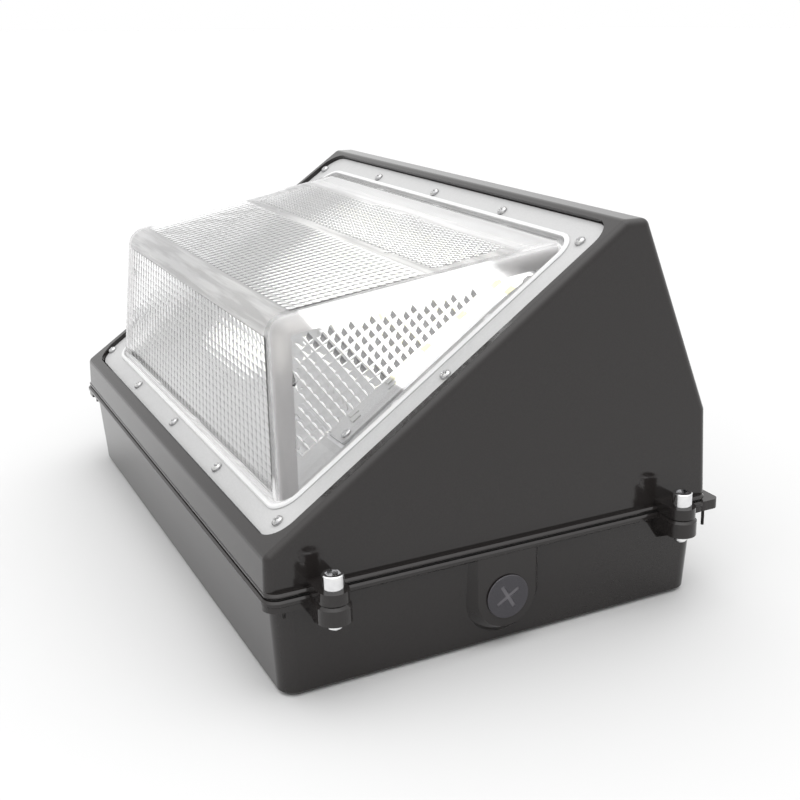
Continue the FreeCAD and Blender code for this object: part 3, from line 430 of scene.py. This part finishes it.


# One moulding, five finishes: clear walls, a soft flange and soft roundings tinted in streaks of
# painted highlight and shade and glowing with painted light at the foot, the ends' own roundings
# with a band painted lit that glows, and on the end lattice caps painted dark as painted shade and
# sides painted lit, which glow. Each pair of distances is where a change starts and where it ends.
moulding = {"IOR": 1.49, "Transmission_Weight": 1.0}
white_light = {"Emission_Color": (1.0, 1.0, 1.0, 1.0)}
foot_glow = (0.006, 0.002)
lit_from, lit_to = (0.08, 0.084), (0.168, 0.16)


def up_share(finish, start, end):
    """Runs from 0 at the start to 1 at the end, two distances up the slope."""
    return finish.along(up_slope, slope_start @ up_slope + start, slope_start @ up_slope + end)


clear_moulding = Finish("clear_moulding", **moulding)
clear_moulding.paint(0.05, (0.985, 0.985, 0.99), 1.0)
clear_moulding.rough(0.01, 0.0, 0.02)

soft_moulding = Finish("soft_moulding", **moulding, **white_light)
# Painted highlight and shade: the tint runs in streaks along x, from grey to near white.
painted_streaks = soft_moulding.noise(0.003, 3.0, (0.05, 1, 1))
soft_moulding.feed("Base Color", soft_moulding.between(painted_streaks, (0.38, 0.37, 0.37),
                                                       (0.95, 0.94, 0.94), 0.42, 0.6))
# Painted light: the lens glows at its foot, next to the frame.
foot_painted_glow = soft_moulding.along(off_slope, slope_off + foot_glow[0], slope_off + foot_glow[1])
soft_moulding.glow(foot_painted_glow, 0.3)
soft_moulding.rough(0.01, 0.42, 0.5)

edge_moulding = Finish("edge_moulding", **moulding, **white_light)
lit_edge = edge_moulding.result("MULTIPLY", up_share(edge_moulding, *lit_from),
                                up_share(edge_moulding, *lit_to))
pale_edge = edge_moulding.between(edge_moulding.noise(0.05), (0.46, 0.44, 0.44), (0.5, 0.48, 0.48))
edge_moulding.feed("Base Color", edge_moulding.mixed(lit_edge, pale_edge, 1.0))
edge_moulding.glow(lit_edge, 0.4)
edge_moulding.rough(0.01, 0.3, 0.4)

# Painted shade: the lattice caps are tinted dark and only partly clear, and slightly rough.
shaded_cap_moulding = Finish("shaded_cap_moulding", IOR=1.49, Transmission_Weight=0.6)
shaded_cap_moulding.paint(0.05, 0.13, 0.16)
shaded_cap_moulding.rough(0.01, 0.2, 0.3)

lit_facet = Finish("lit_facet", IOR=1.49, Transmission_Weight=0.5, Emission_Strength=0.45,
                   **white_light)
lit_facet.paint(0.01, 0.9, 0.97)
lit_facet.rough(0.01, 0.4, 0.5)

refractor_piece = as_object("prismatic_refractor", refractor(), crease=25.0, finishes=(
    clear_moulding, soft_moulding, edge_moulding, shaded_cap_moulding, lit_facet))
keep_flats = refractor_piece.modifiers.new("even_flats", "WEIGHTED_NORMAL")
keep_flats.keep_sharp = True
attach(refractor_piece, "cover")
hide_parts("lens")

# Frame screws: twelve zinc-plated pan heads with a cross recess, each turned into the cover through
# the frame, with the head's underside on the frame. The small screws inside are plated the same.

# Each row is its distance up the slope and the x of its screws.
screw_rows = ((0.0148, (-0.163, 0.155)), (0.0117, (-0.0825, -0.004, 0.0745)),
              (0.1108, (-0.161, 0.161)), (0.206, (-0.0825, -0.004, 0.0745)),
              (0.2008, (-0.163, 0.155)))
screw_x, screw_up = np.array([(x, up) for up, row in screw_rows for x in row]).T
screw_turns = 0.6 + 1.7 * np.arange(len(screw_x))

zinc = Finish("zinc_plate", Metallic=1.0)
zinc.paint(0.0015, (0.4, 0.4, 0.41), (0.54, 0.54, 0.53))
zinc.rough(0.0008, 0.16, 0.3)
dress(zinc, "frame_screws", "plate_screws", "board_screws", "driver_screws", "terminal_screws")


def pan_heads(x, up, turn, rings=24, spokes=96):
    """Surfaces of all heads over a share (from the crown's middle to the underside) and an angle.
    Over the crown's part of the share the radius grows evenly and the height falls as its fourth
    power, and over the rest the rim goes straight down. A cross is pressed into the crown: an arm's
    depth is whole near its middle line and fades out at its sides and towards its ends."""
    head_radius, crown_height, rim_height, crown_share = 0.00275, 0.002, 0.0009, 0.8
    recess_depth, arm_side, side_fade, arm_end, end_fade = 0.0008, 0.00048, 0.0003, 0.00182, 0.0007

    share, angle = np.meshgrid(np.linspace(0, 1, rings + 1),
                               np.linspace(0, 2 * np.pi, spokes, endpoint=False), indexing="ij")
    x, up, turn = (values[:, None, None] for values in (x, up, turn))
    reach = np.minimum(share / crown_share, 1)
    radius = head_radius * reach
    along_arm, off_arm = abs(radius * np.cos(angle + turn)), abs(radius * np.sin(angle + turn))

    def arm(off, along):
        """Share of the recess's depth at a distance off an arm's middle line and along it."""
        return (np.clip((arm_side - off) / side_fade, 0, 1)
                * np.clip((arm_end - along) / end_fade, 0, 1))

    cross = np.maximum(arm(off_arm, along_arm), arm(along_arm, off_arm))
    crown = crown_height - (crown_height - rim_height) * reach ** 4 - recess_depth * cross
    skirt = rim_height * (1 - (share - crown_share) / (1 - crown_share))
    height = np.where(share < crown_share, crown, skirt)
    aside, upward = x + radius * np.cos(angle), up + radius * np.sin(angle)
    points = np.stack([aside, upward, frame_face + height], -1).reshape(-1, 3)
    index = np.arange(len(points)).reshape(height.shape)
    after = np.roll(index, -1, axis=2)
    quads = np.stack([index[:, :-1], index[:, 1:], after[:, 1:], after[:, :-1]], -1)
    return slope_start + points @ np.array([across, up_slope, off_slope]), quads.reshape(-1, 4)


screw_shell = bmesh.new()
add_surface(screw_shell, *pan_heads(screw_x, screw_up, screw_turns))
bmesh.ops.remove_doubles(screw_shell, verts=screw_shell.verts, dist=1e-6)
open_edges = [e for e in screw_shell.edges if len(e.link_faces) == 1]
bmesh.ops.holes_fill(screw_shell, edges=open_edges, sides=200)
bmesh.ops.recalc_face_normals(screw_shell, faces=screw_shell.faces)
screw_heads = as_object("frame_screw_heads", screw_shell, [zinc], crease=40.0)
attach(screw_heads, "cover")
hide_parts("frame_screws")

# Lens seal: a flat ring of white silicone sponge, cut from sheet. It lies in the cover's recess
# under the lens flange, and the frame presses the flange onto it.
white_sponge = Finish("white_sponge", Roughness=0.7)
white_sponge.paint(0.0008, 0.5, 0.62)
white_sponge.bumps(0.0006, 0.00006)
dress(white_sponge, "lens_seal")

# Light engine: an aluminium plate with a folded reflector tray on rivets, and a board with rows of
# yellow chips. The upper part of the board and a patch below it are painted white and glow, as
# painted light; the rest of the board and its chips are painted grey, as painted shade.
plate_metal = Finish("mill_aluminium", Metallic=1.0)
plate_metal.paint(0.004, (0.66, 0.66, 0.67), (0.76, 0.76, 0.77))
plate_metal.rough(0.0005, 0.28, 0.42, stretch=(1, 14, 14))
dress(plate_metal, "mounting_plate", "reflector_rivets")

reflector_paint = Finish("reflector_paint", IOR=1.45)
reflector_paint.paint(0.002, 0.46, 0.5)
reflector_paint.rough(0.004, 0.3, 0.42)
dress(reflector_paint, "reflector")

# Each edge of the painted light fades in from the first distance to the second.
painted_light_edge = (0.1, 0.103)
patch_side, patch_top, patch_foot = (-0.018, -0.02), (0.086, 0.0845), (0.066, 0.0665)


def painted_light_share(finish):
    """Share of painted light, and 0 where shade is painted: 1 above its edge across the slope, and
    in the patch below that edge, which lies to one side between its top and its foot."""
    height = finish.result("MULTIPLY", up_share(finish, *patch_top), up_share(finish, *patch_foot))
    patch = finish.result("MULTIPLY", finish.along(across, *patch_side), height)
    return finish.result("MAXIMUM", up_share(finish, *painted_light_edge), patch)


board_mask = Finish("board_solder_mask", IOR=1.5, **white_light)
# Painted light and shade: the board is white and glows where lit, and is grey elsewhere.
board_painted_light = painted_light_share(board_mask)
board_grey = board_mask.between(board_mask.noise(0.0012), 0.47, 0.51)
board_mask.feed("Base Color", board_mask.mixed(board_painted_light, board_grey, (0.92, 0.92, 0.91)))
board_mask.glow(board_painted_light, 0.5)
board_mask.rough(0.002, 0.3, 0.4)
dress(board_mask, "led_board")

phosphor = Finish("chip_phosphor", Roughness=0.4, Emission_Color=(1, 0.97, 0.72, 1))
# Painted light and shade: the chips are yellow and glow where lit, and are painted grey elsewhere.
chip_painted_light = painted_light_share(phosphor)
chip_yellow = phosphor.between(phosphor.noise(0.0006), (0.95, 0.93, 0.6), (0.97, 0.95, 0.7))
phosphor.feed("Base Color", phosphor.mixed(chip_painted_light, (0.48, 0.48, 0.47), chip_yellow))
phosphor.glow(chip_painted_light, 0.25)
dress(phosphor, "led_chips")

# Wiring space: a potted driver in a white metal can, a nylon terminal block and lead plug, a green
# ground screw, and black and red PVC leads.
driver_can = Finish("driver_can", IOR=1.45)
driver_can.paint(0.002, 0.7, (0.78, 0.78, 0.77))
driver_can.rough(0.005, 0.35, 0.5)
dress(driver_can, "led_driver")

terminal_nylon = Finish("terminal_nylon", IOR=1.5)
terminal_nylon.paint(0.001, (0.74, 0.73, 0.68), (0.8, 0.79, 0.75))
terminal_nylon.rough(0.002, 0.4, 0.55)
dress(terminal_nylon, "terminal_block", "lead_connector")

green_plate = Finish("green_plate", IOR=1.5)
green_plate.paint(0.001, (0.015, 0.13, 0.03), (0.03, 0.2, 0.05))
green_plate.rough(0.001, 0.25, 0.35)
dress(green_plate, "ground_screw")

for wire_name, node_name, low, high in (
        ("black_wire", "input_leads", 0.008, 0.018),
        ("red_wire", "output_leads", (0.3, 0.01, 0.008), (0.42, 0.02, 0.015))):
    wire = Finish(wire_name, IOR=1.5)
    wire.paint(0.002, low, high)
    wire.rough(0.002, 0.35, 0.5)
    dress(wire, node_name)

# Studio: the light lies on a white floor that runs into an even white surround. The surround is
# three times as bright overhead, like a wide soft box.
floor_reach, floor_gap = 30.0, 0.0003
floor_mesh = bpy.data.meshes.new("studio_floor")
floor_mesh.from_pydata([(x * floor_reach, y * floor_reach, -floor_gap)
                        for x, y in ((-1, -1), (1, -1), (1, 1), (-1, 1))], [], [(0, 1, 2, 3)])
studio_floor = bpy.data.objects.new("studio_floor", floor_mesh)
bpy.context.scene.collection.objects.link(studio_floor)
floor_white = Finish("floor_white", Roughness=0.9, Specular_IOR_Level=0.0)
floor_white.paint(0.5, 0.63, 0.64)
floor_mesh.materials.append(floor_white.material)

surround = bpy.data.worlds.new("white_surround")
surround.use_nodes = True
sky = surround.node_tree
sky_height = sky.nodes.new("ShaderNodeSeparateXYZ")
sky.links.new(sky.nodes.new("ShaderNodeTexCoord").outputs["Generated"],
              sky_height.inputs["Vector"])
sky_share = sky.nodes.new("ShaderNodeMath")
sky_share.operation = "POWER"
sky_share.use_clamp = True
sky.links.new(sky_height.outputs["Z"], sky_share.inputs[0])
sky_share.inputs[1].default_value = 4.0
sky_strength = sky.nodes.new("ShaderNodeMapRange")
sky.links.new(sky_share.outputs["Value"], sky_strength.inputs["Value"])
sky_strength.inputs["To Min"].default_value = 1.0
sky_strength.inputs["To Max"].default_value = 3.0
sky.links.new(sky_strength.outputs["Result"], sky.nodes["Background"].inputs["Strength"])
sky.nodes["Background"].inputs["Color"].default_value = (1, 1, 1, 1)
bpy.context.scene.world = surround
bpy.context.scene.view_settings.view_transform = "Standard"
